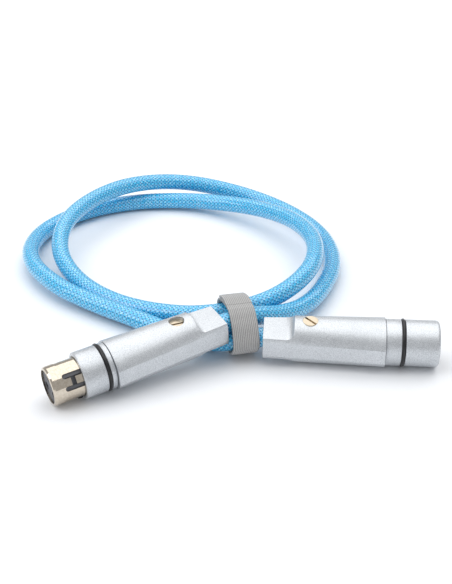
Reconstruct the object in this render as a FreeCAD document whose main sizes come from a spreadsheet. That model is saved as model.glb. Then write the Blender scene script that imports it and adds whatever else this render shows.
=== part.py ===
"""A coiled balanced audio cable: one cable, two three-pole connectors and a hook-and-loop strap.

Frame: millimetres, +Z up, origin on the surface below the middle of the two connectors and the
strap. X runs from the female connector on the left to the male one on the right, and the coil
lies behind them along +Y. Each connector is drawn along its own axis, from the cable entry at
x = 0 to the mating face, and is then placed.
"""

import math
import os

import FreeCAD
import Part
import Sketcher

Vector = FreeCAD.Vector

DOC = FreeCAD.newDocument("CableCoil")

# Driving dimensions, in millimetres and degrees.
DIMENSIONS = {
    # cable
    "cableRadius": 4.0,
    "coreRadius": 0.85,
    "coreStart": 1.9,
    # connector body
    "bodyLength": 49.2,
    "bodyRadius": 9.6,
    "frontHalfWidth": 10.6,
    "frontHalfFlat": 3.3,
    "rearHalfWidth": 7.6,
    "rearHalfFlat": 3.4,
    "recessLength": 9.4,
    "recessHalf": 5.0,
    "recessFillet": 3.2,
    "entryRadius": 4.06,
    "cavityStart": 24.0,
    "cavityRadius": 7.5,
    "spigotStart": 43.0,
    "spigotSeat": 8.45,
    # parts ahead of the body
    "outerRadius": 9.5,
    "spigotRadius": 8.4,
    "partGap": 0.2,
    "sealRadius": 0.72,
    "femaleRing": 2.0,
    "femaleCollarEnd": 62.3,
    "noseEnd": 74.8,
    "noseRadius": 8.0,
    "noseBore": 7.25,
    "noseRim": 0.9,
    "bandStart": 70.4,
    "bandStep": 0.2,
    "maleRing": 6.2,
    "barrelEnd": 71.0,
    "barrelBore": 8.05,
    "barrelRound": 1.1,
    # contacts
    "insertRadius": 7.2,
    "femaleInsertStart": 55.0,
    "femaleInsertEnd": 74.0,
    "maleInsertStart": 50.0,
    "maleInsertEnd": 58.2,
    "contactCircle": 4.1,
    "pinRadius": 1.19,
    "shankRadius": 1.45,
    "pinEnd": 70.0,
    "socketRadius": 1.62,
    "socketBore": 1.24,
    "socketEnd": 73.2,
    "cupStart": 46.0,
    "cupRadius": 1.7,
    # latch
    "slotFront": 69.0,
    "slotRear": 57.0,
    "windowFront": 66.9,
    "tongueTip": 65.2,
    "lugStart": 62.6,
    "lugRise": 0.45,
    "slotHalfWidth": 0.95,
    "tongueHalfWidth": 1.55,
    "tongueClock": 58.0,
    # cable clamp
    "clampPlace": 18.9,
    "clampBore": 3.2,
    "screwRadius": 3.12,
    "padRadius": 3.05,
    "padTop": 5.5,
    "femaleScrewTop": 7.9,
    "maleScrewTop": 9.45,
    "screwSlot": 1.1,
    "jacketEnd": 27.0,
    # strap
    "strapThickness": 1.3,
    "strapWidth": 11.0,
    "tailThickness": 1.3,
}

CONTACT_CLOCKS = (90.0, 210.0, 330.0)  # degrees round the connector's axis
LATCH_FLOOR = 6.1  # height above the axis of the floor under the latch tongue

# Where each connector lies: its cable entry, then yaw, pitch and roll in degrees.
FEMALE_ENTRY = Vector(-10.1, 6.8, 15.2)
FEMALE_TURN = (207.9, 5.1, -3.0)
MALE_ENTRY = Vector(7.85, 5.5, 9.86)
MALE_TURN = (-4.0, 0.0, 6.0)

# The coil: two loose turns, counter-clockwise from the front right, one station each 24 degrees.
# It swings evenly between the angles where the cable lies widest, narrowest, lowest and highest.
COIL_CENTRE = (-29.7, 86.0)
COIL_START = 60
COIL_END = 684
COIL_STEP = 24
COIL_RADII = (
    (60, 74.0), (165, 74.0), (240, 60.0), (332, 50.5), (404, 70.0), (500, 57.0), (615, 74.5),
    (690, 58.0),
)  # (degrees, distance from the centre)
COIL_HEIGHTS = (
    (60, 5.5), (100, 4.1), (130, 4.1), (220, 15.8), (332, 4.1), (434, 15.5), (560, 4.1),
    (600, 4.1), (640, 7.5), (684, 5.7),
)  # (degrees, height of the cable's middle)

# The two leads between the coil and the straight stretch behind each connector, point by point.
FEMALE_STRAIGHT = 7.9
MALE_STRAIGHT = 4.5
FEMALE_LEAD = (
    (4.8, 16.2, 14.0),
    (14.3, 23.4, 9.8),
    (24.5, 33.6, 6.5),
)
MALE_LEAD = (
    (-49.7, 29.6, 5.7),
    (-38.2, 22.5, 4.9),
    (-28.7, 17.2, 4.3),
    (-20.3, 13.0, 4.2),
    (-13.1, 9.9, 4.9),
    (-7.1, 7.5, 6.5),
    (-1.9, 6.2, 8.6),
)

# The strap: a band round the three strands, across the axis it is turned to.
STRAP_CENTRE = Vector(-2.6, 16.0, 0.0)
STRAP_YAW = 12.0
STRAP_CORNERS = (
    (-11.7, 9.95), (-7.4, 6.55), (12.3, 8.8), (11.3, 10.6), (-4.8, 15.8), (-6.8, 15.6),
)  # (sideways, height) of the strands at its corners, anticlockwise
STRAP_HOLD = 4.2  # radius of the band's inner face round a strand
TAIL_SIDE = 3  # the corner where the band's rear slope starts
TAIL_START = 0.06  # shares of that slope where the tail's free end and its root lie
TAIL_END = 0.97


def make_sheet():
    """The spreadsheet of driving dimensions, one alias per value."""
    sheet = DOC.addObject("Spreadsheet::Sheet", "Dims")
    for row, (alias, value) in enumerate(DIMENSIONS.items(), start=1):
        sheet.set(f"A{row}", alias)
        sheet.set(f"B{row}", str(value))
        sheet.setAlias(f"B{row}", alias)
    DOC.recompute()
    return sheet


SHEET = make_sheet()
FEMALE_PLACE = FreeCAD.Placement(FEMALE_ENTRY, FreeCAD.Rotation(*FEMALE_TURN))
MALE_PLACE = FreeCAD.Placement(MALE_ENTRY, FreeCAD.Rotation(*MALE_TURN))
NODES = []


def dim(alias):
    """One driving dimension as a number."""
    return float(SHEET.get(alias))


def value_of(text):
    """The number that an expression of aliases joined by + and - gives."""
    total = 0.0
    for word in text.replace("-", "+-").split("+"):
        word = word.strip()
        if not word:
            continue
        sign = -1.0 if word.startswith("-") else 1.0
        word = word.lstrip("-").strip()
        total += sign * (float(word) if word[0].isdigit() else dim(word))
    return total


def bound(text):
    """The same expression as the spreadsheet knows it."""
    words = []
    for word in text.replace("-", " - ").replace("+", " + ").split():
        words.append(word if word in "+-" or word[0].isdigit() else f"Dims.{word}")
    return " ".join(words)


def new_body(name, place):
    """A PartDesign body that becomes the node of that name."""
    body = DOC.addObject("PartDesign::Body", name)
    body.Label = name
    body.Placement = place
    NODES.append(body)
    return body


def plane(body, role):
    """One of the body's own origin planes or axes."""
    return next(f for f in body.Origin.OriginFeatures if f.Role == role)


def new_sketch(body, name, role="XY_Plane", offset=None):
    """A sketch on one of the body's origin planes."""
    sketch = body.newObject("Sketcher::SketchObject", name)
    sketch.AttachmentSupport = [(plane(body, role), "")]
    sketch.MapMode = "FlatFace"
    if offset is not None:
        sketch.setExpression("AttachmentOffset.Base.z", bound(offset))
    return sketch


def pin_point(sketch, line, end, across, up):
    """Fixes one end of a line at (across, up), each bound to the sheet."""
    for kind, text in (("DistanceX", across), ("DistanceY", up)):
        if text == "0":
            axis = -2 if kind == "DistanceX" else -1
            sketch.addConstraint(Sketcher.Constraint("PointOnObject", line, end, axis))
            continue
        index = sketch.addConstraint(
            Sketcher.Constraint(kind, -1, 1, line, end, value_of(text))
        )
        sketch.setExpression(f"Constraints[{index}]", bound(text))


def outline(sketch, corners):
    """Closed outline of straight lines whose corners are pairs of expressions."""
    count = len(corners)
    first = sketch.GeometryCount
    points = [Vector(value_of(a), value_of(b), 0) for a, b in corners]
    for i in range(count):
        sketch.addGeometry(Part.LineSegment(points[i], points[(i + 1) % count]))
    for i in range(count):
        after = first + (i + 1) % count
        sketch.addConstraint(Sketcher.Constraint("Coincident", first + i, 2, after, 1))
    for i, (across, up) in enumerate(corners):
        pin_point(sketch, first + i, 1, across, up)


def turned(body, name, corners, cut=False):
    """Revolves an outline of (along, radius) corners about the connector's axis."""
    sketch = new_sketch(body, name + "Profile")
    outline(sketch, corners)
    kind = "PartDesign::Groove" if cut else "PartDesign::Revolution"
    feature = body.newObject(kind, name)
    feature.Profile = sketch
    feature.ReferenceAxis = (sketch, ["H_Axis"])
    feature.Angle = 360
    body.Tip = feature
    DOC.recompute()
    return feature


def disc(sketch, across, up, radius):
    """A circle whose centre and radius are bound to the sheet."""
    centre = Vector(value_of(across), value_of(up), 0)
    index = sketch.addGeometry(Part.Circle(centre, Vector(0, 0, 1), value_of(radius)))
    size = sketch.addConstraint(Sketcher.Constraint("Radius", index, value_of(radius)))
    sketch.setExpression(f"Constraints[{size}]", bound(radius))
    pin_point(sketch, index, 3, across, up)


def pad(body, sketch, length, name):
    """Pads a sketch by an expression of the sheet."""
    feature = body.newObject("PartDesign::Pad", name)
    feature.Profile = sketch
    feature.setExpression("Length", bound(length))
    body.Tip = feature
    DOC.recompute()
    return feature


def pocket_through(body, sketch, name, both=True):
    """Cuts a sketch through the body, both ways or only along its normal."""
    before = body.Shape.Volume
    feature = body.newObject("PartDesign::Pocket", name)
    feature.Profile = sketch
    feature.Type = "ThroughAll"
    feature.Midplane = both
    feature.Reversed = not both
    body.Tip = feature
    DOC.recompute()
    if body.Shape.Volume >= before:
        raise RuntimeError(f"{name} cuts nothing")
    return feature


def body_section(body, name, offset, width, flat):
    """Flat sides joined by an arch above and one below, as one closed sketch."""
    sketch = new_sketch(body, name, "YZ_Plane", offset)
    half, side, crown = value_of(width), value_of(flat), dim("bodyRadius")
    right = sketch.addGeometry(Part.LineSegment(Vector(half, -side, 0), Vector(half, side, 0)))
    left = sketch.addGeometry(Part.LineSegment(Vector(-half, side, 0), Vector(-half, -side, 0)))
    over = sketch.addGeometry(
        Part.Arc(Vector(half, side, 0), Vector(0, crown, 0), Vector(-half, side, 0))
    )
    under = sketch.addGeometry(
        Part.Arc(Vector(-half, -side, 0), Vector(0, -crown, 0), Vector(half, -side, 0))
    )
    pin_point(sketch, right, 1, width, "-" + flat)
    pin_point(sketch, right, 2, width, flat)
    pin_point(sketch, left, 1, "-" + width, flat)
    pin_point(sketch, left, 2, "-" + width, "-" + flat)
    rise = f"(Dims.bodyRadius - Dims.{flat})"
    for arc, start, end in ((over, (right, 2), (left, 1)), (under, (left, 2), (right, 1))):
        sketch.addConstraint(Sketcher.Constraint("Coincident", arc, 1, *start))
        sketch.addConstraint(Sketcher.Constraint("Coincident", arc, 2, *end))
        size = (half**2 + (crown - side) ** 2) / (2 * (crown - side))
        index = sketch.addConstraint(Sketcher.Constraint("Radius", arc, size))
        sketch.setExpression(
            f"Constraints[{index}]", f"(Dims.{width}^2 + {rise}^2) / (2 * {rise})"
        )
    return sketch


def body_shell(name, place):
    """The die-cast body: arched with flat sides, wider in front, with a stepped rear end."""
    body = new_body(name, place)
    rear = body_section(body, name + "Rear", None, "rearHalfWidth", "rearHalfFlat")
    front = body_section(body, name + "Front", "bodyLength", "frontHalfWidth", "frontHalfFlat")
    loft = body.newObject("PartDesign::AdditiveLoft", name + "Loft")
    loft.Profile = rear
    loft.Sections = [front]
    loft.Ruled = True
    body.Tip = loft
    DOC.recompute()
    recess = new_sketch(body, name + "Recess", "XZ_Plane")
    for sign in ("", "-"):
        rear_recess(recess, sign)
    pocket_through(body, recess, name + "RecessCut")
    turned(body, name + "Bore", (
        ("0", "0"), ("0", "entryRadius"), ("cavityStart", "entryRadius"),
        ("cavityStart", "cavityRadius"), ("spigotStart", "cavityRadius"),
        ("spigotStart", "spigotSeat"), ("bodyLength", "spigotSeat"), ("bodyLength", "0"),
    ), cut=True)
    hole = new_sketch(body, name + "ScrewHole")
    disc(hole, "clampPlace", "0", "clampBore")
    pocket_through(body, hole, name + "ScrewCut", both=False)
    return body


def rear_recess(sketch, sign):
    """One of the two flats at the cable entry: a step with a hollow fillet at its foot."""
    side = -1 if sign else 1
    flat, length, fillet = dim("recessHalf"), dim("recessLength"), dim("recessFillet")
    past = dim("bodyRadius") + 1
    start, foot = Vector(0, side * flat, 0), Vector(length, side * flat, 0)
    head = Vector(length + fillet, side * (flat + fillet), 0)
    middle = Vector(
        length + fillet * math.sin(math.pi / 4),
        side * (flat + fillet * (1 - math.cos(math.pi / 4))),
        0,
    )
    top, corner = Vector(head.x, side * past, 0), Vector(0, side * past, 0)
    first = sketch.GeometryCount
    sketch.addGeometry(Part.LineSegment(start, foot))
    sketch.addGeometry(Part.Arc(foot, middle, head))
    sketch.addGeometry(Part.LineSegment(head, top))
    sketch.addGeometry(Part.LineSegment(top, corner))
    sketch.addGeometry(Part.LineSegment(corner, start))
    pin_point(sketch, first, 1, "0", sign + "recessHalf")
    pin_point(sketch, first, 2, "recessLength", sign + "recessHalf")
    pin_point(sketch, first + 2, 1, "recessLength + recessFillet",
              f"{sign}recessHalf {sign or '+'} recessFillet")
    pin_point(sketch, first + 2, 2, "recessLength + recessFillet",
              f"{sign}bodyRadius {sign or '+'} 1")
    pin_point(sketch, first + 3, 2, "0", f"{sign}bodyRadius {sign or '+'} 1")


def seal(name, place, at):
    """The rubber O-ring on its spigot."""
    ring = DOC.addObject("Part::Torus", name)
    ring.Label = name
    ring.setExpression("Radius1", "Dims.spigotRadius + Dims.sealRadius + 0.02")
    ring.setExpression("Radius2", "Dims.sealRadius")
    spot = FreeCAD.Placement(
        Vector(value_of(at), 0, 0), FreeCAD.Rotation(Vector(0, 0, 1), Vector(1, 0, 0))
    )
    ring.Placement = place.multiply(spot)
    NODES.append(ring)
    return ring


def neck_ring(name, place, length):
    """The plain ring between the body and the O-ring."""
    body = new_body(name, place)
    rear, front = "bodyLength + partGap", f"bodyLength + partGap + {length}"
    turned(body, name + "Turned", (
        (rear, "spigotSeat"), (rear, "outerRadius"), (front, "outerRadius"), (front, "spigotSeat"),
    ))
    return body


def female_collar(place):
    """Collar round the nose shell, with the spigot that carries the O-ring and the ring."""
    body = new_body("female_collar", place)
    step = "bodyLength + partGap + femaleRing + sealRadius + sealRadius + partGap"
    turned(body, "CollarTurned", (
        ("spigotStart + 0.5", "noseRadius + 0.03"), ("spigotStart + 0.5", "spigotRadius"),
        (step, "spigotRadius"), (step, "outerRadius"),
        ("femaleCollarEnd - 0.4", "outerRadius"), ("femaleCollarEnd", "outerRadius - 0.4"),
        ("femaleCollarEnd", "noseRadius + 0.03"),
    ))
    return body


def male_barrel(place):
    """Barrel round the pins, with a rounded rim and a spigot into the body."""
    body = new_body("male_barrel", place)
    step = "bodyLength + partGap + maleRing + sealRadius + sealRadius + partGap"
    turned(body, "BarrelTurned", (
        ("spigotStart + 0.5", "insertRadius + 0.03"), ("spigotStart + 0.5", "spigotRadius"),
        (step, "spigotRadius"), (step, "outerRadius"),
        ("barrelEnd - barrelRound", "outerRadius"), ("barrelEnd - 0.35", "outerRadius - 0.35"),
        ("barrelEnd", "outerRadius - 1"), ("barrelEnd", "barrelBore"),
        ("maleInsertEnd", "barrelBore"), ("maleInsertEnd", "insertRadius + 0.03"),
    ))
    return body


def slot_side(sketch, side):
    """One of the two slots beside the latch tongue, round at its front end."""
    inner = value_of("tongueHalfWidth") * side
    width = value_of("slotHalfWidth") * 2
    rear, front = value_of("slotRear"), value_of("slotFront")
    outer = inner + width * side
    first = sketch.GeometryCount
    sketch.addGeometry(Part.LineSegment(Vector(rear, inner, 0), Vector(front, inner, 0)))
    bulge = Vector(front + width / 2, (inner + outer) / 2, 0)
    sketch.addGeometry(Part.Arc(Vector(front, inner, 0), bulge, Vector(front, outer, 0)))
    sketch.addGeometry(Part.LineSegment(Vector(front, outer, 0), Vector(rear, outer, 0)))
    sketch.addGeometry(Part.LineSegment(Vector(rear, outer, 0), Vector(rear, inner, 0)))
    sign = "-" if side < 0 else ""
    far = f"{sign}tongueHalfWidth {sign or '+'} slotHalfWidth {sign or '+'} slotHalfWidth"
    pin_point(sketch, first, 1, "slotRear", sign + "tongueHalfWidth")
    pin_point(sketch, first, 2, "slotFront", sign + "tongueHalfWidth")
    pin_point(sketch, first + 2, 1, "slotFront", far)
    pin_point(sketch, first + 2, 2, "slotRear", far)


def clocked(place, clock):
    """The connector's placement turned so that +Z looks out through a feature at that clock."""
    return place.multiply(FreeCAD.Placement(Vector(), FreeCAD.Rotation(0, 0, -clock)))


def female_nose(place):
    """Thin nickel shell round the sockets, with a locating band behind its rim and the latch slots."""
    body = new_body("female_nose_shell", clocked(place, dim("tongueClock")))
    turned(body, "NoseTurned", (
        ("spigotStart + 1", "noseBore"), ("spigotStart + 1", "noseRadius - bandStep"),
        ("bandStart", "noseRadius - bandStep"), ("bandStart", "noseRadius"),
        ("noseEnd - noseRim", "noseRadius"), ("noseEnd - 0.25", "noseRadius - 0.35"),
        ("noseEnd", "noseRadius - 0.9"), ("noseEnd", "noseBore - 0.4"),
        ("noseEnd - 0.6", "noseBore - 0.4"), ("noseEnd - 0.6", "noseBore"),
    ))
    slots = new_sketch(body, "LatchSlots")
    for side in (1, -1):
        slot_side(slots, side)
    pocket_through(body, slots, "LatchSlotCut", both=False)
    window = new_sketch(body, "TongueWindow")
    outline(window, (
        ("slotRear", "-tongueHalfWidth"), ("windowFront", "-tongueHalfWidth"),
        ("windowFront", "tongueHalfWidth"), ("slotRear", "tongueHalfWidth"),
    ))
    pocket_through(body, window, "TongueWindowCut", both=False)
    return body


def latch_tongue(place):
    """Spring tongue between the slots: held at its rear, with a raised lug at its free end."""
    tongue = DOC.addObject("Part::Feature", "female_latch_tongue")
    tongue.Label = "female_latch_tongue"
    rear, tip, lug_start = dim("slotRear") + 0.4, dim("tongueTip"), dim("lugStart")
    half, inner = dim("tongueHalfWidth") - 0.02, dim("noseBore") + 0.1
    outer = dim("noseRadius") - dim("bandStep")

    def strip(start, end, low, high):
        ring = Part.makeCylinder(high, end - start, Vector(start, 0, 0), Vector(1, 0, 0))
        ring = ring.cut(Part.makeCylinder(low, end - start, Vector(start, 0, 0), Vector(1, 0, 0)))
        return ring.common(Part.makeBox(end - start, 2 * half, 12, Vector(start, -half, 0)))

    lug = strip(lug_start, tip, outer - 0.2, outer + dim("lugRise"))
    shape = strip(rear, tip, inner, outer).fuse(lug).removeSplitter()
    tongue.Shape = shape.Solids[0]
    tongue.Placement = clocked(place, dim("tongueClock"))
    NODES.append(tongue)
    return tongue


def contact_insert(name, place, start, end):
    """Plastic contact carrier with a hole for each contact."""
    body = new_body(name, place)
    radius = "insertRadius" if name.startswith("male") else "noseBore - 0.05"
    turned(body, name + "Turned", (
        (start, "0"), (start, radius), (end, radius), (end, "0"),
    ))
    sketch = new_sketch(body, name + "Holes", "YZ_Plane")
    size = "shankRadius + 0.02" if name.startswith("male") else "socketRadius + 0.02"
    for clock in CONTACT_CLOCKS:
        angle = math.radians(clock)
        centre = Vector(math.cos(angle), math.sin(angle), 0) * dim("contactCircle")
        index = sketch.addGeometry(Part.Circle(centre, Vector(0, 0, 1), value_of(size)))
        spec = sketch.addConstraint(Sketcher.Constraint("Radius", index, value_of(size)))
        sketch.setExpression(f"Constraints[{spec}]", bound(size))
    pocket_through(body, sketch, name + "HoleCut")
    return body


def latch_relief(place):
    """Cuts the room in the insert that the latch tongue springs into."""
    insert = NODES.pop()
    insert.Label = "female_insert_blank"
    room = DOC.addObject("Part::Box", "LatchRoom")
    room.Length = dim("slotFront") - dim("slotRear")
    room.Width = 2 * dim("tongueHalfWidth") + 0.6
    room.Height = 4
    corner = Vector(dim("slotRear"), -room.Width.Value / 2, LATCH_FLOOR)
    room.Placement = clocked(place, dim("tongueClock")).multiply(
        FreeCAD.Placement(corner, FreeCAD.Rotation())
    )
    cut = DOC.addObject("Part::Cut", "female_contact_insert")
    cut.Label = "female_contact_insert"
    cut.Base = insert
    cut.Tool = room
    NODES.append(cut)
    return cut


def contact_set(name, place, parts):
    """Three like contacts; each is a stack of (start, end, radius, bore) along the axis."""
    group = DOC.addObject("Part::Feature", name)
    group.Label = name
    solids = []
    for clock in CONTACT_CLOCKS:
        angle = math.radians(clock)
        side = Vector(0, math.cos(angle), math.sin(angle)) * dim("contactCircle")
        shape = None
        for start, end, radius, bore in parts:
            foot = Vector(start, 0, 0) + side
            piece = Part.makeCylinder(radius, end - start, foot, Vector(1, 0, 0))
            if bore:
                piece = piece.cut(Part.makeCylinder(bore, end - start, foot, Vector(1, 0, 0)))
            shape = piece if shape is None else shape.fuse(piece)
        solids.extend(shape.removeSplitter().Solids)
    group.Shape = Part.makeCompound(solids)
    group.Placement = place
    NODES.append(group)
    return group


def conductors(name, place):
    """Two cores and the twisted screen, fanned from the jacket to the solder cups."""
    group = DOC.addObject("Part::Feature", name)
    group.Label = name
    solids = []
    for clock in CONTACT_CLOCKS:
        angle = math.radians(clock)
        side = Vector(0, math.cos(angle), math.sin(angle))
        wires = []
        for along, out in (("jacketEnd", "coreStart"), ("cupStart", "contactCircle")):
            centre = Vector(dim(along), 0, 0) + side * dim(out)
            circle = Part.Circle(centre, Vector(1, 0, 0), dim("coreRadius"))
            wires.append(Part.Wire(circle.toShape()))
        solids.append(Part.makeLoft(wires, True, True))
    group.Shape = Part.makeCompound(solids)
    group.Placement = place
    NODES.append(group)
    return group


def jacket_end(name, place):
    """The end of the cable inside the body, from the entry to where the cores part."""
    stub = DOC.addObject("Part::Cylinder", name)
    stub.Label = name
    stub.setExpression("Radius", "Dims.cableRadius")
    stub.setExpression("Height", "Dims.jacketEnd")
    stub.Placement = place.multiply(
        FreeCAD.Placement(Vector(), FreeCAD.Rotation(Vector(0, 0, 1), Vector(1, 0, 0)))
    )
    NODES.append(stub)
    return stub


def clamp_pad(name, place):
    """Saddle that the clamp screw presses on the jacket."""
    body = new_body(name, place)
    sketch = new_sketch(body, name + "Disc")
    disc(sketch, "clampPlace", "0", "padRadius")
    pad(body, sketch, "padTop", name + "Pad")
    turned(body, name + "Saddle", (
        ("0", "0"), ("0", "cableRadius + 0.03"), ("jacketEnd", "cableRadius + 0.03"),
        ("jacketEnd", "0"),
    ), cut=True)
    return body


def clamp_screw(name, place, top, turn):
    """Slotted screw in the body's radial hole, above the pad, its slot turned by some degrees."""
    spot = FreeCAD.Placement(Vector(dim("clampPlace"), 0, 0), FreeCAD.Rotation(turn, 0, 0))
    body = new_body(name, place.multiply(spot))
    sketch = new_sketch(body, name + "Disc", "XY_Plane", "padTop + 0.05")
    disc(sketch, "0", "0", "screwRadius")
    pad(body, sketch, f"{top} - padTop - 0.05", name + "Pad")
    slot = new_sketch(body, name + "Slot", "XY_Plane", f"{top} - screwSlot")
    outline(slot, (
        ("-screwRadius - 1", "-0.45"), ("screwRadius + 1", "-0.45"),
        ("screwRadius + 1", "0.45"), ("-screwRadius - 1", "0.45"),
    ))
    pocket_through(body, slot, name + "SlotCut", both=False)
    return body


def insert_screw(place):
    """Small screw through the underside of the nose shell that keeps the insert in."""
    screw = DOC.addObject("Part::Cylinder", "female_insert_screw")
    screw.Label = "female_insert_screw"
    screw.Radius = 1.1
    screw.Height = 0.7
    seat = dim("noseRadius") - dim("bandStep")
    foot = FreeCAD.Placement(Vector(63.6, 0, seat), FreeCAD.Rotation())
    screw.Placement = clocked(place, 158.0).multiply(foot)
    NODES.append(screw)
    return screw


def cord_path(points):
    """Straight runs joined by tangent arcs as large as the runs allow, and their radii."""
    corners = [Vector(*p) for p in points]
    edges, radii, start = [], [], corners[0]
    for before, here, after in zip(corners, corners[1:], corners[2:]):
        come, go = here - before, after - here
        reach = 0.45 * min(come.Length, go.Length)
        come.normalize()
        go.normalize()
        turn = come.getAngle(go)
        radius = reach / math.tan(turn / 2)
        radii.append(radius)
        arc_start, arc_end = here - come * reach, here + go * reach
        inward = (go - come).normalize()
        middle = here + inward * (radius / math.cos(turn / 2) - radius)
        edges.append(Part.LineSegment(start, arc_start).toShape())
        edges.append(Part.Arc(arc_start, middle, arc_end).toShape())
        start = arc_end
    edges.append(Part.LineSegment(start, corners[-1]).toShape())
    return Part.Wire(edges), radii


def cord_tube(name, points):
    """The cable along a route, checked against its section times its length."""
    path, radii = cord_path(points)
    first = Vector(*points[1]) - Vector(*points[0])
    circle = Part.Circle(Vector(*points[0]), first, dim("cableRadius")).toShape()
    tube = path.makePipeShell([Part.Wire(circle)], True, False)
    expected = math.pi * dim("cableRadius") ** 2 * path.Length
    print(f"{name}: {path.Length:.1f} mm, tightest radii", sorted(round(r, 1) for r in radii)[:4])
    if abs(tube.Volume - expected) > 0.01 * expected:
        raise RuntimeError(f"{name} has {tube.Volume:.0f} mm3, not {expected:.0f}")
    cord = DOC.addObject("Part::Feature", name)
    cord.Label = name
    cord.Shape = tube
    NODES.append(cord)
    return cord


def swung(turning_points, angle):
    """The value at an angle, on half a cosine wave from each turning point to the next."""
    for (start, before), (end, after) in zip(turning_points, turning_points[1:]):
        if angle <= end:
            share = (angle - start) / (end - start)
            return before + (after - before) * (1 - math.cos(math.pi * share)) / 2
    raise ValueError(f"no turning point after {angle} degrees")


def coil_stations():
    """The coil's turns, one point each COIL_STEP degrees round its centre."""
    stations = []
    for degrees in range(COIL_START, COIL_END + 1, COIL_STEP):
        radius, angle = swung(COIL_RADII, degrees), math.radians(degrees)
        stations.append((
            COIL_CENTRE[0] + radius * math.sin(angle),
            COIL_CENTRE[1] - radius * math.cos(angle),
            swung(COIL_HEIGHTS, degrees),
        ))
    return stations


def between(a, b):
    """The middle of two route points."""
    return tuple((p + q) / 2 for p, q in zip(a, b))


def strap_outline(hold):
    """Tangent band round the three strands as lines and arcs, anticlockwise, for one radius."""
    order = [Vector(a, b, 0) for a, b in STRAP_CORNERS]
    normals = []
    for a, b in zip(order, order[1:] + order[:1]):
        along = (b - a).normalize()
        normals.append(Vector(along.y, -along.x, 0))
    edges = []
    for i, centre in enumerate(order):
        come, go = normals[i - 1], normals[i]
        middle = (come + go).normalize()
        after = order[(i + 1) % len(order)]
        edges.append(("arc", centre + come * hold, centre + middle * hold, centre + go * hold))
        edges.append(("line", centre + go * hold, after + go * hold))
    return edges


def band_sketch(sketch, hold):
    """Draws one closed band outline."""
    for kind, *points in strap_outline(hold):
        if kind == "arc":
            sketch.addGeometry(Part.Arc(*points))
        else:
            sketch.addGeometry(Part.LineSegment(*points))


def strap_place():
    """The strap's placement: its sketch plane stands across the strands."""
    turn = FreeCAD.Rotation(Vector(0, 0, 1), STRAP_YAW)
    return FreeCAD.Placement(STRAP_CENTRE, turn)


def strap_loop():
    """The hook-and-loop band round the three strands."""
    body = new_body("strap_loop", strap_place())
    sketch = new_sketch(body, "BandSection", "YZ_Plane")
    band_sketch(sketch, STRAP_HOLD + dim("strapThickness"))
    band_sketch(sketch, STRAP_HOLD)
    band = pad(body, sketch, "strapWidth", "Band")
    band.Midplane = True
    return body


def strap_tail():
    """The free end of the band, lying on its rear face and peeled from the lower end."""
    hold = STRAP_HOLD + dim("strapThickness") + 0.05
    edges = strap_outline(hold)
    _, start, end = edges[2 * TAIL_SIDE + 1]
    span = end - start
    low, high = start + span * TAIL_START, start + span * TAIL_END
    out = Vector(span.y, -span.x, 0).normalize() * dim("tailThickness")
    body = new_body("strap_tail", strap_place())
    sketch = new_sketch(body, "TailSection", "YZ_Plane")
    corners = [low, low + out, high + out, high]
    for a, b in zip(corners, corners[1:] + corners[:1]):
        sketch.addGeometry(Part.LineSegment(a, b))
    tail = pad(body, sketch, "strapWidth", "Tail")
    tail.Midplane = True
    return body


def female_connector():
    """Everything in the socket end."""
    place = FEMALE_PLACE
    body_shell("female_body_shell", place)
    neck_ring("female_neck_ring", place, "femaleRing")
    seal("female_o_ring", place, "bodyLength + partGap + femaleRing + sealRadius + 0.05")
    female_collar(place)
    female_nose(place)
    latch_tongue(place)
    insert_screw(place)
    contact_insert("female_contact_insert", place, "femaleInsertStart", "femaleInsertEnd")
    latch_relief(place)
    contact_set("female_contact_sockets", place, (
        (dim("cupStart"), dim("cupStart") + 4, dim("cupRadius"), 0),
        (dim("cupStart") + 4, dim("cupStart") + 6, dim("socketRadius"), 0),
        (dim("cupStart") + 6, dim("socketEnd"), dim("socketRadius"), dim("socketBore")),
    ))
    conductors("female_conductors", place)
    jacket_end("female_jacket_end", place)
    clamp_pad("female_clamp_pad", place)
    clamp_screw("female_clamp_screw", place, "femaleScrewTop", -12)


def male_connector():
    """Everything in the pin end."""
    place = MALE_PLACE
    body_shell("male_body_shell", place)
    neck_ring("male_neck_ring", place, "maleRing")
    seal("male_o_ring", place, "bodyLength + partGap + maleRing + sealRadius + 0.05")
    male_barrel(place)
    contact_insert("male_contact_insert", place, "maleInsertStart", "maleInsertEnd")
    contact_set("male_contact_pins", place, (
        (dim("cupStart"), dim("maleInsertStart"), dim("cupRadius"), 0),
        (dim("maleInsertStart"), dim("maleInsertEnd"), dim("shankRadius"), 0),
        (dim("maleInsertEnd"), dim("pinEnd"), dim("pinRadius"), 0),
    ))
    conductors("male_conductors", place)
    jacket_end("male_jacket_end", place)
    clamp_pad("male_clamp_pad", place)
    clamp_screw("male_clamp_screw", place, "maleScrewTop", -45)


def cable():
    """The cable: a lead from each connector, and the coil's two turns between them."""
    turns = coil_stations()
    first = between(FEMALE_LEAD[-1], turns[0])
    last = between(turns[-1], MALE_LEAD[0])
    female_exit = [FEMALE_ENTRY, FEMALE_PLACE.multVec(Vector(-FEMALE_STRAIGHT, 0, 0))]
    male_exit = [MALE_PLACE.multVec(Vector(-MALE_STRAIGHT, 0, 0)), MALE_ENTRY]
    cord_tube("cable_lead_female", female_exit + list(FEMALE_LEAD) + [first])
    cord_tube("cable_coil", [first] + turns + [last])
    cord_tube("cable_lead_male", [last] + list(MALE_LEAD) + male_exit)


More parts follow.
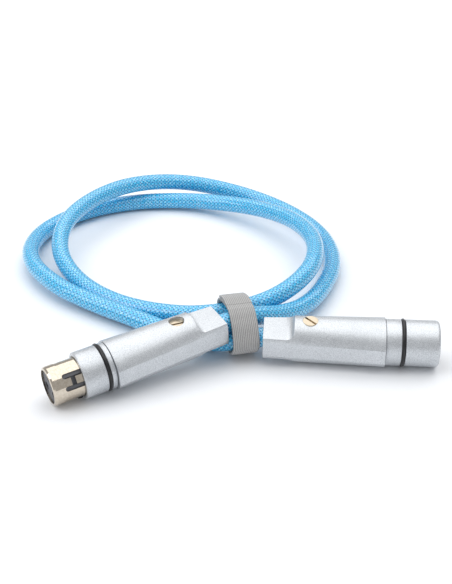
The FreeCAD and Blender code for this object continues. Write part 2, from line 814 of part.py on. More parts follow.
def write_parts():
    """Checks every object and writes each node to its own file."""
    DOC.recompute()
    for item in DOC.Objects:
        if "Invalid" in item.State or "Error" in item.State:
            raise RuntimeError(f"{item.Label} is {item.State}")
    os.makedirs("parts", exist_ok=True)
    for node in NODES:
        shape = node.Shape
        if shape.isNull() or not shape.isValid() or not shape.Solids:
            raise RuntimeError(f"{node.Label} has no valid solid")
        shape.exportStep(f"parts/{node.Label}.step")
        box = shape.BoundBox
        print(f"{node.Label}: {shape.Volume:.0f} mm3, z {box.ZMin:.2f} to {box.ZMax:.2f}")


female_connector()
male_connector()
cable()
strap_loop()
strap_tail()
write_parts()
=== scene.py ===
"""Looks of the coiled balanced audio cable: finishes, the cable, the strap, light and camera.

Everything is in metres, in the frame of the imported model: +Z up, the connectors along X in front
and the coil behind them along +Y.
"""

import logging
import math
from dataclasses import dataclass, field
from enum import Enum
from typing import Any, Dict, List, Optional, Sequence, Tuple

import bpy
from mathutils import Euler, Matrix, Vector

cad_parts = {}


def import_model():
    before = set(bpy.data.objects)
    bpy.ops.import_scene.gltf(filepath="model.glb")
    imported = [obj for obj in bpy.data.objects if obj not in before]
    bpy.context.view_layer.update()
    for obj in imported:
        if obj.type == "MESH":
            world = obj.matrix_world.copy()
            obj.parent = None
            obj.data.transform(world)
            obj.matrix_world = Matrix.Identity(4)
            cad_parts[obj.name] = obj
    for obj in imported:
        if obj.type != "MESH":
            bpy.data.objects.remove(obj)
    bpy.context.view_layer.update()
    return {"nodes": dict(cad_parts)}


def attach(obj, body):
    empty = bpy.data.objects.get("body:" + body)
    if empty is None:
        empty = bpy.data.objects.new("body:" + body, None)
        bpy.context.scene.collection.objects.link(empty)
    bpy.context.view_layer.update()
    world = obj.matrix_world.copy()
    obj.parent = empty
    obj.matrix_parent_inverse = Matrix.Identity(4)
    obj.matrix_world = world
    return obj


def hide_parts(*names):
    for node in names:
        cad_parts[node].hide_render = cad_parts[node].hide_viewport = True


LOG = logging.getLogger("cable_coil")
MM = 0.001

Point = Tuple[float, float, float]
Colour = Tuple[float, float, float, float]


def linear(code: str) -> Colour:
    """Turns an sRGB hex colour into linear values.

    Args:
        code: Six hex digits with a leading hash.

    Returns:
        Linear red, green and blue, and an alpha of 1.
    """
    parts = [int(code[i : i + 2], 16) / 255 for i in (1, 3, 5)]
    red, green, blue = (c / 12.92 if c <= 0.04045 else ((c + 0.055) / 1.055) ** 2.4 for c in parts)
    return red, green, blue, 1.0


MATH, MIX, NOISE = "ShaderNodeMath", "ShaderNodeMix", "ShaderNodeTexNoise"
REMAP, PLACE, BUMP = "ShaderNodeMapRange", "ShaderNodeTexCoord", "ShaderNodeBump"
MIXED = 2  # which output of a Mix node holds its colour


def node(tree: bpy.types.NodeTree, kind: str, inputs: Dict[Any, Any], **settings: Any) -> bpy.types.Node:
    """Adds a node with its settings, values and links.

    Args:
        tree: The node tree.
        kind: The node's type name.
        inputs: For each input, by name or index, a value, a socket, or a node whose first output it takes.
        settings: Properties of the node.

    Returns:
        The new node.
    """
    made = tree.nodes.new(kind)
    for key, value in settings.items():
        setattr(made, key, value)
    for key, value in inputs.items():
        source = value.outputs[0] if isinstance(value, bpy.types.Node) else value
        if isinstance(source, bpy.types.NodeSocket):
            tree.links.new(source, made.inputs[key])
        else:
            made.inputs[key].default_value = source
    return made


def new_material(name: str) -> Tuple[bpy.types.Material, bpy.types.NodeTree, bpy.types.Node]:
    """Makes an empty material with a Principled shader.

    Args:
        name: The material's name.

    Returns:
        The material, its tree and the shader node.
    """
    material = bpy.data.materials.new(name)
    material.use_nodes = True
    return material, material.node_tree, material.node_tree.nodes["Principled BSDF"]


def set_inputs(shader: bpy.types.Node, **values: Any) -> None:
    """Sets values on a shader's own sockets.

    Args:
        shader: The shader node.
        values: The sockets' values, by their names with underscores for spaces.
    """
    for key, value in values.items():
        shader.inputs[key.replace("_", " ")].default_value = value


@dataclass(frozen=True)
class CastMetal:
    """Satin-plated zinc die casting: bright grey, with the fine tooth of a bead-blasted mould."""

    name: str = "satin_die_cast_zinc"
    colour: str = "#DCDFE2"
    shade: str = "#B4B8BC"
    grain: float = 0.3 * MM  # size of the blasted grain, coarse enough to show
    patches: float = 60.0  # broad patches of tone per metre
    fine_share: float = 0.85  # how much of the tone comes from the grain

    def build(self) -> bpy.types.Material:
        """Makes the material.

        Returns:
            The material.
        """
        material, tree, shader = new_material(self.name)
        place = node(tree, PLACE, {}).outputs["Object"]
        fine = node(tree, NOISE, {"Vector": place, "Scale": 1 / self.grain, "Detail": 3.0})
        broad = node(tree, NOISE, {"Vector": place, "Scale": self.patches, "Detail": 2.0})
        fine_part = node(tree, MATH, {0: fine, 1: self.fine_share}, operation="MULTIPLY")
        broad_part = node(tree, MATH, {0: broad, 1: 1 - self.fine_share}, operation="MULTIPLY")
        mixed = node(tree, MATH, {0: fine_part, 1: broad_part}, operation="ADD")
        tone = node(tree, REMAP, {"Value": mixed, "From Min": 0.36, "From Max": 0.62})
        colour = node(
            tree, MIX, {0: tone, 6: linear(self.shade), 7: linear(self.colour)}, data_type="RGBA"
        )
        tree.links.new(colour.outputs[MIXED], shader.inputs["Base Color"])
        rough = node(
            tree, REMAP,
            {"Value": fine, "From Min": 0.3, "From Max": 0.7, "To Min": 0.36, "To Max": 0.5},
        )
        tree.links.new(rough.outputs[0], shader.inputs["Roughness"])
        bump = node(tree, BUMP, {"Height": fine, "Strength": 0.5, "Distance": 0.06 * MM})
        tree.links.new(bump.outputs[0], shader.inputs["Normal"])
        set_inputs(shader, Metallic=0.8)
        return material


@dataclass(frozen=True)
class PolishedNickel:
    """Nickel-plated drawn steel: a warm mirror with small handling marks."""

    name: str = "polished_nickel_plate"
    colour: str = "#D3C9BA"
    marked: str = "#C4B9A8"  # colour where it is marked
    roughness: float = 0.07
    marks: float = 0.9 * MM  # spacing of the marks
    dulling: float = 0.05  # how much rougher a mark is

    def build(self) -> bpy.types.Material:
        """Makes the material.

        Returns:
            The material.
        """
        material, tree, shader = new_material(self.name)
        place = node(tree, PLACE, {}).outputs["Object"]
        marks = node(tree, NOISE, {"Vector": place, "Scale": 1 / self.marks, "Detail": 4.0})
        rough = node(
            tree, REMAP,
            {
                "Value": marks, "From Min": 0.3, "From Max": 0.75,
                "To Min": self.roughness, "To Max": self.roughness + self.dulling,
            },
        )
        tree.links.new(rough.outputs[0], shader.inputs["Roughness"])
        tone = node(tree, REMAP, {"Value": marks, "From Min": 0.35, "From Max": 0.7})
        colour = node(
            tree, MIX, {0: tone, 6: linear(self.colour), 7: linear(self.marked)}, data_type="RGBA"
        )
        tree.links.new(colour.outputs[MIXED], shader.inputs["Base Color"])
        set_inputs(shader, Metallic=1.0)
        return material


@dataclass(frozen=True)
class TurnedMetal:
    """Machined metal with fine tool marks: screws and contacts."""

    name: str
    colour: str
    roughness: float
    tool: float = 0.12 * MM  # spacing of the tool marks

    def build(self) -> bpy.types.Material:
        """Makes the material.

        Returns:
            The material.
        """
        material, tree, shader = new_material(self.name)
        place = node(tree, PLACE, {}).outputs["Object"]
        marks = node(tree, NOISE, {"Vector": place, "Scale": 1 / self.tool, "Detail": 2.0})
        rough = node(
            tree, REMAP,
            {"Value": marks, "To Min": self.roughness - 0.06, "To Max": self.roughness + 0.1},
        )
        tree.links.new(rough.outputs[0], shader.inputs["Roughness"])
        bump = node(tree, BUMP, {"Height": marks, "Strength": 0.3, "Distance": 0.02 * MM})
        tree.links.new(bump.outputs[0], shader.inputs["Normal"])
        set_inputs(shader, Metallic=1.0, Base_Color=linear(self.colour))
        return material


@dataclass(frozen=True)
class MouldedPlastic:
    """Moulded plastic or rubber with a spark-eroded surface: soft, even and a little mottled."""

    name: str
    colour: str
    shade: str
    roughness: float
    texture: float = 0.3 * MM  # size of the eroded texture

    def build(self) -> bpy.types.Material:
        """Makes the material.

        Returns:
            The material.
        """
        material, tree, shader = new_material(self.name)
        place = node(tree, PLACE, {}).outputs["Object"]
        texture = node(tree, NOISE, {"Vector": place, "Scale": 1 / self.texture, "Detail": 3.0})
        colour = node(
            tree, MIX, {0: texture, 6: linear(self.colour), 7: linear(self.shade)}, data_type="RGBA"
        )
        tree.links.new(colour.outputs[MIXED], shader.inputs["Base Color"])
        bump = node(tree, BUMP, {"Height": texture, "Strength": 0.25, "Distance": 0.03 * MM})
        tree.links.new(bump.outputs[0], shader.inputs["Normal"])
        set_inputs(shader, Roughness=self.roughness)
        return material


@dataclass(frozen=True)
class BraidUnderJacket:
    """Blue monofilament braid under a clear PVC jacket.

    Two families of bright strands cross over and under, with painted shade in the small gaps where four
    of them meet and painted highlight flecks along each strand's crown, and the jacket lays long smooth
    highlights over them.
    """

    name: str = "blue_braid_under_clear_pvc"
    across: float = 14.0  # cells round the cable
    pitch: float = 2.1 * MM  # cell length along the cable
    painted_highlight: str = "#D6F6FC"
    strand: str = "#27BDEE"
    under: str = "#0CA3DE"
    # colour of the painted shade in the holes between the strands
    gap_shade: str = "#04406F"
    highlight_fleck: float = 0.8 * MM  # size of the painted highlight flecks

    def build(self) -> bpy.types.Material:
        """Makes the material, on a map that holds metres along the cable and turns round it.

        Returns:
            The material.
        """
        material, tree, shader = new_material(self.name)
        lay = node(tree, "ShaderNodeUVMap", {})
        split = node(tree, "ShaderNodeSeparateXYZ", {0: lay})
        along = node(tree, MATH, {0: split, 1: self.pitch}, operation="DIVIDE")
        around = node(tree, MATH, {0: split.outputs[1], 1: self.across}, operation="MULTIPLY")
        edges, tops, cells = [], [], []
        for way in ("ADD", "SUBTRACT"):
            band = node(tree, MATH, {0: along, 1: around}, operation=way)
            part = node(tree, MATH, {0: band}, operation="FRACT")
            offset = node(tree, MATH, {0: part, 1: 0.5}, operation="SUBTRACT")
            centre = node(tree, MATH, {0: offset}, operation="ABSOLUTE")
            double = node(tree, MATH, {0: centre, 1: 2.0}, operation="MULTIPLY")
            edges.append(node(tree, MATH, {0: 0.5, 1: centre}, operation="SUBTRACT"))
            tops.append(node(tree, MATH, {0: 1.0, 1: double}, operation="SUBTRACT"))
            cells.append(node(tree, MATH, {0: band}, operation="FLOOR"))
        both = node(tree, MATH, {0: cells[0], 1: cells[1]}, operation="ADD")
        parity = node(tree, MATH, {0: both, 1: 2.0}, operation="FLOORED_MODULO")
        crown = node(tree, MIX, {0: parity, 2: tops[0], 3: tops[1]}, data_type="FLOAT")
        base = node(
            tree, MIX, {0: parity, 6: linear(self.strand), 7: linear(self.under)}, data_type="RGBA"
        )
        # painted highlight: each strand turns lighter towards its crown, broken into flecks by noise
        shine = node(
            tree, REMAP,
            {"Value": crown, "From Min": 0.45, "From Max": 1.0, "To Min": 0.0, "To Max": 0.8},
        )
        place = node(tree, PLACE, {}).outputs["Object"]
        highlight_fleck = node(tree, NOISE, {"Vector": place, "Scale": 1 / self.highlight_fleck, "Detail": 1.0})
        sparkle = node(tree, REMAP, {"Value": highlight_fleck, "From Min": 0.42, "From Max": 0.62})
        glint = node(tree, MATH, {0: shine, 1: sparkle}, operation="MULTIPLY")
        highlighted = node(
            tree, MIX, {0: glint, 6: base.outputs[MIXED], 7: linear(self.painted_highlight)}, data_type="RGBA"
        )
        # painted shade: dark colour in the holes where four strands meet
        corner = node(tree, MATH, {0: edges[0], 1: edges[1]}, operation="MAXIMUM")
        shaded_hole = node(
            tree, REMAP,
            {"Value": corner, "From Min": 0.13, "From Max": 0.21, "To Min": 1.0, "To Max": 0.0},
        )
        colour = node(
            tree, MIX, {0: shaded_hole, 6: highlighted.outputs[MIXED], 7: linear(self.gap_shade)}, data_type="RGBA"
        )
        tree.links.new(colour.outputs[MIXED], shader.inputs["Base Color"])
        height = node(tree, MATH, {0: crown, 1: shaded_hole}, operation="SUBTRACT")
        bump = node(tree, BUMP, {"Height": height, "Strength": 0.35, "Distance": 0.25 * MM})
        tree.links.new(bump.outputs[0], shader.inputs["Normal"])
        set_inputs(
            shader, Roughness=0.38, Coat_Weight=1.0, Coat_Roughness=0.09, Coat_IOR=1.5,
            Specular_IOR_Level=0.5,
        )
        return material


@dataclass(frozen=True)
class WovenStrap:
    """Woven nylon hook-and-loop tape: fine ribs along the tape, crossed by a finer weft."""

    name: str = "woven_nylon_tape"
    colour: str = "#C4C3C2"
    shade: str = "#6A6968"
    rib: float = 0.75 * MM  # spacing of the ribs across the tape
    weft: float = 0.55 * MM  # spacing of the cross threads
    slant: float = 0.7  # how far the cross threads lean
    fuzz: float = 0.35 * MM  # size of the loose fibres
    rib_share: float = 0.6  # how much of the weave's height comes from the ribs

    def build(self) -> bpy.types.Material:
        """Makes the material, on a map that holds metres along and across the tape.

        Returns:
            The material.
        """
        material, tree, shader = new_material(self.name)
        lay = node(tree, "ShaderNodeUVMap", {})
        split = node(tree, "ShaderNodeSeparateXYZ", {0: lay})
        along, across = split.outputs[0], split.outputs[1]
        rib_turn = node(tree, MATH, {0: across, 1: math.tau / self.rib}, operation="MULTIPLY")
        ribs = node(tree, MATH, {0: rib_turn}, operation="SINE")
        lean = node(tree, MATH, {0: across, 1: self.slant}, operation="MULTIPLY")
        slant = node(tree, MATH, {0: along, 1: lean}, operation="ADD")
        weft_turn = node(tree, MATH, {0: slant, 1: math.tau / self.weft}, operation="MULTIPLY")
        weft = node(tree, MATH, {0: weft_turn}, operation="SINE")
        rib_part = node(tree, MATH, {0: ribs, 1: self.rib_share}, operation="MULTIPLY")
        weft_part = node(tree, MATH, {0: weft, 1: 1 - self.rib_share}, operation="MULTIPLY")
        weave = node(tree, MATH, {0: rib_part, 1: weft_part}, operation="ADD")
        place = node(tree, PLACE, {}).outputs["Object"]
        fuzz = node(tree, NOISE, {"Vector": place, "Scale": 1 / self.fuzz, "Detail": 3.0})
        height = node(tree, MATH, {0: weave, 1: fuzz}, operation="ADD")
        # painted shade in the weave's grooves and lighter tone on its ridges, set by the weave's height,
        # with random tone from the loose fibres
        tone = node(tree, REMAP, {"Value": height, "From Min": -0.5, "From Max": 1.4})
        colour = node(
            tree, MIX, {0: tone, 6: linear(self.shade), 7: linear(self.colour)}, data_type="RGBA"
        )
        tree.links.new(colour.outputs[MIXED], shader.inputs["Base Color"])
        bump = node(tree, BUMP, {"Height": height, "Strength": 0.6, "Distance": 0.12 * MM})
        tree.links.new(bump.outputs[0], shader.inputs["Normal"])
        set_inputs(shader, Roughness=0.85, Sheen_Weight=0.4, Sheen_Roughness=0.5)
        return material


@dataclass(frozen=True)
class PaperSweep:
    """Matt white paper under the object."""

    name: str = "white_paper_sweep"
    colour: str = "#F4F5F7"
    shade: str = "#F1F3F6"
    fibres: float = 300.0  # patches of fibre per metre

    def build(self) -> bpy.types.Material:
        """Makes the material.

        Returns:
            The material.
        """
        material, tree, shader = new_material(self.name)
        place = node(tree, PLACE, {}).outputs["Object"]
        fibre = node(tree, NOISE, {"Vector": place, "Scale": self.fibres, "Detail": 2.0})
        colour = node(
            tree, MIX, {0: fibre, 6: linear(self.colour), 7: linear(self.shade)}, data_type="RGBA"
        )
        tree.links.new(colour.outputs[MIXED], shader.inputs["Base Color"])
        set_inputs(shader, Roughness=0.6, Specular_IOR_Level=0.3)
        return material


class Finish(Enum):
    """The finishes, each with what makes it."""

    CAST = CastMetal()
    NICKEL = PolishedNickel()
    SEAL = MouldedPlastic("black_nitrile_seal", "#0B0B0C", "#17171A", 0.35)
    INSERT = MouldedPlastic("charcoal_nylon_insert", "#55565B", "#606166", 0.55)
    PAD = MouldedPlastic("black_nylon_pad", "#151515", "#1F1F20", 0.5)
    CORES = MouldedPlastic("white_core_insulation", "#E9E7E1", "#D9D6CE", 0.45)
    CONTACT = TurnedMetal("gold_flashed_contact", "#8A6A36", 0.35)
    SCREW = TurnedMetal("nickelled_screw", "#C6B9A4", 0.25)
    DARK_SCREW = TurnedMetal("blackened_screw", "#2B2B2B", 0.4)
    BRAID = BraidUnderJacket()
    TAPE = WovenStrap()
    PAPER = PaperSweep()


class Palette:
    """Builds each finish once and puts it on objects."""

    def __init__(self) -> None:
        """Starts with no material made."""
        self.made: Dict[Finish, bpy.types.Material] = {}

    def dress(self, piece: bpy.types.Object, finish: Finish) -> None:
        """Gives an object one material.

        Args:
            piece: The object.
            finish: Its finish.
        """
        if finish not in self.made:
            self.made[finish] = finish.value.build()
        slots = piece.data.materials
        if len(slots) == 0:
            slots.append(self.made[finish])
        for i in range(len(slots)):
            slots[i] = self.made[finish]


def deselect() -> None:
    """Leaves nothing selected."""
    bpy.ops.object.select_all(action="DESELECT")


def mesh_piece(name: str, verts: Sequence[Vector], faces: Sequence[Sequence[int]],
               coordinates: Optional[List[Tuple[float, float]]] = None) -> bpy.types.Object:
    """Makes an object from points and faces.

    Args:
        name: The piece's name.
        verts: Its points.
        faces: Its faces, as point numbers.
        coordinates: One map coordinate for each face corner.

    Returns:
        The object, linked to the scene.
    """
    mesh = bpy.data.meshes.new(name)
    mesh.from_pydata([tuple(v) for v in verts], [], faces)
    if coordinates is not None:
        layer = mesh.uv_layers.new(name="lay")
        for i, pair in enumerate(coordinates):
            layer.data[i].uv = pair
    mesh.shade_smooth()
    mesh.update()
    piece = bpy.data.objects.new(name, mesh)
    bpy.context.scene.collection.objects.link(piece)
    return piece


def swung(turning_points: Sequence[Tuple[float, float]], angle: float) -> float:
    """A value that swings on half a cosine wave from each turning point to the next.

    Args:
        turning_points: Angles in degrees, each with its value.
        angle: Where the value is wanted, in degrees.

    Returns:
        The value there.
    """
    for (start, before), (end, after) in zip(turning_points, turning_points[1:]):
        if angle <= end:
            share = (angle - start) / (end - start)
            return before + (after - before) * (1 - math.cos(math.pi * share)) / 2
    raise ValueError(f"no turning point after {angle} degrees")


@dataclass
class Cable:
    """The free cable from the socket connector's entry to the pin connector's.

    The coil swings evenly between the angles where the cable lies widest, narrowest, lowest and
    highest.
    """

    diameter: float = 8.0 * MM
    length: float = 0.842
    sides: int = 28
    rows: int = 26  # rings of the tube for each point of the route
    centre: Tuple[float, float] = (-29.7, 86.0)
    start: int = 60
    end: int = 684
    step: int = 24
    radii: Tuple[Tuple[float, float], ...] = (
        (60, 74.0), (165, 74.0), (240, 60.0), (332, 50.5), (404, 70.0), (500, 57.0), (615, 74.5),
        (690, 58.0),
    )  # fmt: skip
    heights: Tuple[Tuple[float, float], ...] = (
        (60, 5.5), (100, 4.1), (130, 4.1), (220, 15.8), (332, 4.1), (434, 15.5), (560, 4.1),
        (600, 4.1), (640, 7.5), (684, 5.7),
    )  # fmt: skip
    female_lead: Tuple[Point, ...] = (
        (-10.1, 6.8, 15.2),
        (-3.15, 10.48, 15.9),
        (4.8, 16.2, 14.0),
        (14.3, 23.4, 9.8),
        (24.5, 33.6, 6.5),
    )
    male_lead: Tuple[Point, ...] = (
        (-49.7, 29.6, 5.7),
        (-38.2, 22.5, 4.9),
        (-28.7, 17.2, 4.3),
        (-20.3, 13.0, 4.2),
        (-13.1, 9.9, 4.9),
        (-7.1, 7.5, 6.5),
        (-1.9, 6.2, 8.6),
        (3.36, 5.81, 9.86),
        (7.85, 5.5, 9.86),
    )

    def route(self) -> List[Point]:
        """Works out the route.

        Returns:
            Its points in metres, from the socket connector's entry to the pin connector's.
        """
        turns = []
        for degrees in range(self.start, self.end + 1, self.step):
            radius, angle = swung(self.radii, degrees), math.radians(degrees)
            turns.append((
                self.centre[0] + radius * math.sin(angle),
                self.centre[1] - radius * math.cos(angle),
                swung(self.heights, degrees),
            ))
        points = list(self.female_lead) + turns + list(self.male_lead)
        return [(x * MM, y * MM, z * MM) for x, y, z in points]

    def line(self) -> List[Vector]:
        """Works out the cable's smooth centre line.

        Returns:
            Close points along its spline.
        """
        curve = bpy.data.curves.new("cable_route", "CURVE")
        curve.dimensions = "3D"
        curve.resolution_u = self.rows
        spline = curve.splines.new("NURBS")
        route = self.route()
        spline.points.add(len(route) - 1)
        for point, place in zip(spline.points, route):
            point.co = (*place, 1.0)
        spline.order_u = 3
        spline.use_endpoint_u = True
        holder = bpy.data.objects.new("cable_route", curve)
        bpy.context.scene.collection.objects.link(holder)
        bpy.context.view_layer.update()
        mesh = bpy.data.meshes.new_from_object(holder)
        found = [v.co.copy() for v in mesh.vertices]
        bpy.data.objects.remove(holder)
        bpy.data.meshes.remove(mesh)
        return found

    def build(self) -> bpy.types.Object:
        """Makes the tube round the centre line, mapped in metres along and turns round.

        Returns:
            The finished piece.
        """
        line = self.line()
        side = Vector((0.0, 0.0, 1.0))
        verts: List[Vector] = []
        run, runs = 0.0, []
        for i, here in enumerate(line):
            ahead = (line[min(i + 1, len(line) - 1)] - line[max(i - 1, 0)]).normalized()
            side = (side - ahead * side.dot(ahead)).normalized()
            other = ahead.cross(side)
            if i:
                run += (here - line[i - 1]).length
            runs.append(run)
            for k in range(self.sides):
                angle = math.tau * k / self.sides
                verts.append(here + (side * math.cos(angle) + other * math.sin(angle)) * self.diameter / 2)
        faces, coordinates = [], []
        for i in range(len(line) - 1):
            for k in range(self.sides):
                after = (k + 1) % self.sides
                low, high = i * self.sides, (i + 1) * self.sides
                faces.append((low + k, low + after, high + after, high + k))
                for row, column in ((i, k), (i, k + 1), (i + 1, k + 1), (i + 1, k)):
                    coordinates.append((runs[row], column / self.sides))
        for ring in (range(self.sides - 1, -1, -1), range(len(verts) - self.sides, len(verts))):
            faces.append(tuple(ring))
            coordinates.extend([(0.0, 0.0)] * self.sides)
        piece = mesh_piece("cable_braided", verts, faces, coordinates)
        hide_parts("cable_coil", "cable_lead_female", "cable_lead_male")
        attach(piece, "cable_set")
        LOG.info("cable: %.0f mm along its middle", run / MM)
        return piece


@dataclass
class Strap:
    """The hook-and-loop tape round the three strands, and its free end."""

    centre: Point = (-2.6, 16.0, 0.0)
    yaw: float = 12.0
    width: float = 11.0
    thickness: float = 1.3
    hold: float = 4.2  # from the corners to the tape's inner face
    corners: Tuple[Tuple[float, float], ...] = (
        (-11.7, 9.95), (-7.4, 6.55), (12.3, 8.8), (11.3, 10.6), (-4.8, 15.8), (-6.8, 15.6),
    )  # fmt: skip
    bulge: float = 0.7  # how far the tape bows out between strands
    inner_bulge: float = 0.8  # share of that which its inner face has
    corner_step: float = 12.0  # degrees between points round a corner
    full_bow: float = 8.0  # a side shorter than this bows out less
    tail_side: int = 3  # the corner where the rear slope starts, on which the free end lies
    tail_steps: int = 24
    tail_start: int = 2  # first of those steps that the free end covers
    lift: float = 0.05  # gap under the free end
    taper: Tuple[float, ...] = (0.03, 0.1, 0.2, 0.32, 0.45, 0.58, 0.7, 0.81, 0.9, 0.96)
    pieces: List[bpy.types.Object] = field(default_factory=list)

    def outward(self, i: int) -> Vector:
        """The outward direction of one side of the band's section.

        Args:
            i: The corner where the side starts.

        Returns:
            The direction, in the section's plane.
        """
        here, after = Vector(self.corners[i]), Vector(self.corners[(i + 1) % len(self.corners)])
        along = (after - here).normalized()
        return Vector((along.y, -along.x))

    def side_points(self, i: int, hold: float, bulge: float, steps: int = 14) -> List[Vector]:
        """One side's points from its corner to the next, bowed outwards.

        Args:
            i: The corner where the side starts.
            hold: How far out from the corners the points lie.
            bulge: How far a long side bows.
            steps: Parts along the side.

        Returns:
            The points, in the section's plane.
        """
        here, after = Vector(self.corners[i]), Vector(self.corners[(i + 1) % len(self.corners)])
        out = self.outward(i)
        start, end = here + out * hold, after + out * hold
        bow = bulge * min(1.0, (end - start).length / self.full_bow)
        return [
            start.lerp(end, k / steps) + out * bow * math.sin(math.pi * k / steps) for k in range(steps + 1)
        ]

    def loop(self, hold: float, bulge: float) -> List[Vector]:
        """The band's closed outline at a distance from the corners.

        Args:
            hold: That distance.
            bulge: How far a long side bows.

        Returns:
            The outline's points, in the section's plane.
        """
        found: List[Vector] = []
        count = len(self.corners)
        for i in range(count):
            before, after = self.outward((i - 1) % count), self.outward(i)
            corner = Vector(self.corners[i])
            turn = before.angle(after)
            steps = max(2, int(math.degrees(turn) / self.corner_step))
            for k in range(1, steps):
                blend = before.slerp(after, k / steps)
                found.append(corner + blend * hold)
            found.extend(self.side_points(i, hold, bulge))
        return found

    def to_world(self, across: float, point: Vector) -> Vector:
        """Puts a point of the band's section into the frame.

        Args:
            across: Its place across the tape.
            point: Its place in the section's plane.

        Returns:
            The point in metres.
        """
        turn = Euler((0.0, 0.0, math.radians(self.yaw))).to_matrix()
        local = Vector((across, point.x, point.y))
        return (turn @ local + Vector(self.centre)) * MM

    def section(self, steps: int = 8, round_steps: int = 6) -> List[Tuple[float, float]]:
        """The tape's section, as places across it and shares of its thickness.

        Args:
            steps: Parts across each face.
            round_steps: Parts round each selvedge.

        Returns:
            The section's points in order, from the outer face's left end.
        """
        round_by = self.thickness / 2
        flat = self.width / 2 - round_by
        points = []
        for side, share in ((1, 1.0), (-1, 0.0)):
            for k in range(steps + 1):
                points.append((side * flat * (2 * k / steps - 1), share))
            for k in range(1, round_steps):
                angle = side * math.pi / 2 - math.pi * k / round_steps
                points.append((side * flat + round_by * math.cos(angle), 0.5 + 0.5 * math.sin(angle)))
        return points

    def tape(self, name: str, inner: List[Vector], outer: List[Vector], closed: bool) -> bpy.types.Object:
        """Makes a tape between two outlines, with rounded selvedges.

        Args:
            name: The piece's name.
            inner: Outline of its inner face.
            outer: Outline of its outer face.
            closed: Whether the outline closes on itself.

        Returns:
            The piece.
        """
        section = self.section()
        verts, runs, run = [], [], 0.0
        for i, (low, high) in enumerate(zip(inner, outer)):
            if i:
                run += (high - outer[i - 1]).length
            runs.append(run)
            for across, share in section:
                verts.append(self.to_world(across, low.lerp(high, share)))
        sides = len(section)
        rows = len(inner) if closed else len(inner) - 1
        faces, coordinates = [], []
        for i in range(rows):
            after = (i + 1) % len(inner)
            ahead = runs[after] if after else run + (outer[0] - outer[-1]).length
            for k in range(sides):
                right = (k + 1) % sides
                faces.append((i * sides + k, after * sides + k, after * sides + right, i * sides + right))
                for along, column in ((runs[i], k), (ahead, k), (ahead, right), (runs[i], right)):
                    coordinates.append((along * MM, section[column][0] * MM))
        if not closed:
            for ring in (tuple(range(sides)), tuple(range(len(verts) - 1, len(verts) - sides - 1, -1))):
                faces.append(ring)
                coordinates.extend([(0.0, 0.0)] * sides)
        piece = mesh_piece(name, verts, faces, coordinates)
        deselect()
        piece.select_set(True)
        bpy.context.view_layer.objects.active = piece
        bpy.ops.object.mode_set(mode="EDIT")
        bpy.ops.mesh.select_all(action="SELECT")
        bpy.ops.mesh.normals_make_consistent(inside=False)
        bpy.ops.object.mode_set(mode="OBJECT")
        return piece

    def build(self) -> List[bpy.types.Object]:
        """Makes the band and its free end.

        Returns:
            The two pieces.
        """
        inner = self.loop(self.hold, self.bulge * self.inner_bulge)
        outer = self.loop(self.hold + self.thickness, self.bulge)
        band = self.tape("strap_band", inner, outer, True)
        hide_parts("strap_loop")
        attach(band, "cable_set")
        low = self.side_points(
            self.tail_side, self.hold + self.thickness + self.lift, self.bulge, self.tail_steps
        )
        high = self.side_points(
            self.tail_side, self.hold + 2 * self.thickness, self.bulge, self.tail_steps
        )
        low, high = low[self.tail_start : self.tail_steps], high[self.tail_start : self.tail_steps]
        for k, share in enumerate(self.taper):
            high[-1 - k] = low[-1 - k].lerp(high[-1 - k], share)
        tail = self.tape("strap_free_end", low, high, False)
        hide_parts("strap_tail")
        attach(tail, "tail")
        self.pieces = [band, tail]
        LOG.info("strap: band and free end")
        return self.pieces


@dataclass
class Connectors:
    """The two connectors, dressed as they come from the frame."""

    nodes: Dict[str, bpy.types.Object]
    break_edge: float = 0.25 * MM  # how far cast edges are broken
    screw_edge: float = 0.12 * MM
    weld: float = 0.002 * MM  # points nearer than this are one
    crease: float = 20.0  # angle in degrees past which an edge counts as sharp

    def finishes(self) -> Dict[str, Finish]:
        """Names each sub-part's finish.

        Returns:
            The finishes, by the end of the sub-part's name.
        """
        return {
            "body_shell": Finish.CAST,
            "neck_ring": Finish.CAST,
            "collar": Finish.CAST,
            "barrel": Finish.CAST,
            "o_ring": Finish.SEAL,
            "nose_shell": Finish.NICKEL,
            "latch_tongue": Finish.NICKEL,
            "contact_insert": Finish.INSERT,
            "contact_sockets": Finish.CONTACT,
            "contact_pins": Finish.CONTACT,
            "insert_screw": Finish.DARK_SCREW,
            "clamp_screw": Finish.SCREW,
            "clamp_pad": Finish.PAD,
            "conductors": Finish.CORES,
            "jacket_end": Finish.BRAID,
        }

    def soften(self, piece: bpy.types.Object, width: float) -> None:
        """Breaks a node's sharp edges with modifiers, leaving its mesh as it is.

        Args:
            piece: The node.
            width: How much of each edge is broken.
        """
        weld = piece.modifiers.new("weld", "WELD")
        weld.merge_threshold = self.weld
        bevel = piece.modifiers.new("bevel", "BEVEL")
        bevel.width = width
        bevel.segments = 2
        bevel.limit_method = "ANGLE"
        bevel.angle_limit = math.radians(self.crease)
        bevel.harden_normals = False

    def build(self, palette: Palette) -> None:
        """Dresses every node of both connectors.

        Args:
            palette: Where the materials come from.
        """
        for name, piece in self.nodes.items():
            for ending, finish in self.finishes().items():
                if name.endswith(ending):
                    palette.dress(piece, finish)
            if name.endswith(("body_shell", "neck_ring", "collar", "barrel")):
                self.soften(piece, self.break_edge)
            if name.endswith("clamp_screw"):
                self.soften(piece, self.screw_edge)
        LOG.info("connectors: %d nodes dressed", len(self.nodes))


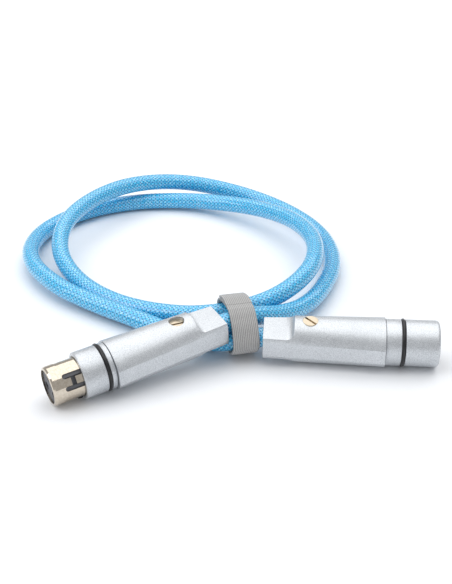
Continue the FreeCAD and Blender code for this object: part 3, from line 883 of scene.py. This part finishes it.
@dataclass
class Studio:
    """Paper sweep, soft light and camera."""

    eye: Point = (-0.0075, -0.3755, 0.2513)
    tilt: float = 60.0
    lens: float = 67.8
    sensor: float = 36.0
    near: float = 0.01
    far: float = 50.0
    floor_size: float = 8.0
    floor_behind: float = 1.5  # how far back the paper's middle lies
    sky: str = "#FBFCFE"
    sky_strength: float = 0.55

    def floor(self, palette: Palette) -> None:
        """Lays the paper.

        Args:
            palette: Where the material comes from.
        """
        deselect()
        bpy.ops.mesh.primitive_plane_add(size=self.floor_size, location=(0.0, self.floor_behind, 0.0))
        paper = bpy.context.object
        paper.name = "paper_floor"
        palette.dress(paper, Finish.PAPER)

    def lamp(self, name: str, place: Point, target: Point, size: float, power: float, tint: str) -> None:
        """Adds one soft light.

        Args:
            name: Its name.
            place: Where it stands.
            target: What it points at.
            size: Width of its square face.
            power: Watts.
            tint: Its colour.
        """
        data = bpy.data.lights.new(name, "AREA")
        data.size = size
        data.energy = power
        data.color = linear(tint)[:3]
        lamp = bpy.data.objects.new(name, data)
        lamp.location = place
        lamp.rotation_euler = (Vector(target) - Vector(place)).to_track_quat("-Z", "Y").to_euler()
        bpy.context.scene.collection.objects.link(lamp)

    def light(self) -> None:
        """Sets the sky and the lights."""
        world = bpy.data.worlds.new("pale_room")
        world.use_nodes = True
        sky = world.node_tree.nodes["Background"]
        sky.inputs["Color"].default_value = linear(self.sky)
        sky.inputs["Strength"].default_value = self.sky_strength
        bpy.context.scene.world = world
        self.lamp("overhead_soft", (0.05, 0.35, 1.1), (0.0, 0.05, 0.0), 2.0, 17.0, "#FFFFFF")
        self.lamp("left_soft", (-0.9, -0.25, 0.7), (0.0, 0.03, 0.0), 0.6, 3.0, "#FDFEFF")

    def camera(self) -> None:
        """Places the camera."""
        data = bpy.data.cameras.new("studio_camera")
        data.lens = self.lens
        data.sensor_width = self.sensor
        data.clip_start = self.near
        data.clip_end = self.far
        camera = bpy.data.objects.new("studio_camera", data)
        camera.location = self.eye
        camera.rotation_euler = (math.radians(self.tilt), 0.0, 0.0)
        bpy.context.scene.collection.objects.link(camera)
        bpy.context.scene.camera = camera

    def build(self, palette: Palette) -> None:
        """Makes the whole studio.

        Args:
            palette: Where the paper's material comes from.
        """
        self.floor(palette)
        self.light()
        self.camera()
        bpy.context.scene.view_settings.view_transform = "Standard"
        LOG.info("studio: floor, lights and camera")


def main() -> None:
    """Builds and dresses everything in order."""
    logging.basicConfig(level=logging.INFO)
    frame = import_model()
    palette = Palette()
    Studio().build(palette)
    connectors = {n: o for n, o in frame["nodes"].items() if n.startswith(("female", "male"))}
    Connectors(connectors).build(palette)
    cable = Cable().build()
    palette.dress(cable, Finish.BRAID)
    for piece in Strap().build():
        palette.dress(piece, Finish.TAPE)


if __name__ == "__main__":
    main()
